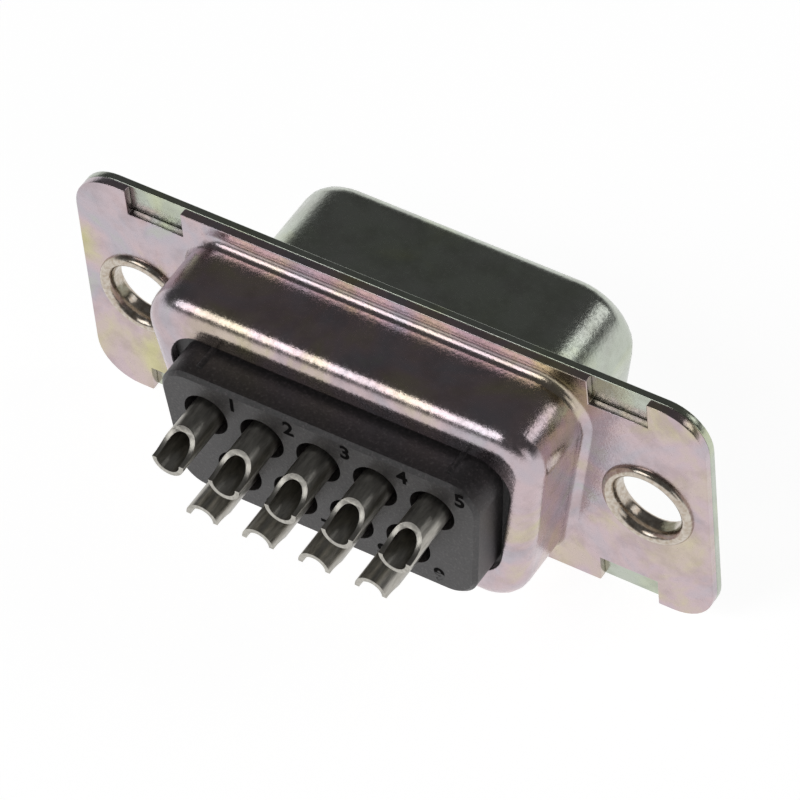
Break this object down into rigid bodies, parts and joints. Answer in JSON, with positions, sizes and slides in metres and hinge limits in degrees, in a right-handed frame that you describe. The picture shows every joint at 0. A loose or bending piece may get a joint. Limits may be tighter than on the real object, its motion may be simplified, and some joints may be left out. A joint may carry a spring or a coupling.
{
  "type": "d-sub connector",
  "caption": "Panel-mount D-shaped socket connector with two-row solder cups, flanged metal shell and eyeleted mounting holes.",
  "frame": {"origin": "midway between the two mounting holes, on the front (mating-side) face of the flange", "axes": "+X along the flange, to the right as seen from the solder side; +Y to the mating side along the mounting holes; +Z to the row of five contacts"},
  "size_m": [0.0308, 0.0155, 0.0126],
  "materials": {
    "shell": "drawn sheet steel, zinc plated with a pale iridescent yellow chromate, glossy",
    "insulator": "glass-filled thermoplastic, black, satin with a fine grain",
    "eyelet": "zinc-plated steel, clinched",
    "contact": "turned copper alloy, tin plated, semi-bright"
  },
  "bodies": {
    "root": {"front_shell": "shell", "rear_shell": "shell", "front_insulator": "insulator", "rear_insulator": "insulator", "eyelet_left": "eyelet", "eyelet_right": "eyelet", "contact_1": "contact", "contact_2": "contact", "contact_3": "contact", "contact_4": "contact", "contact_5": "contact", "contact_6": "contact", "contact_7": "contact", "contact_8": "contact", "contact_9": "contact"}
  },
  "joints": []
}
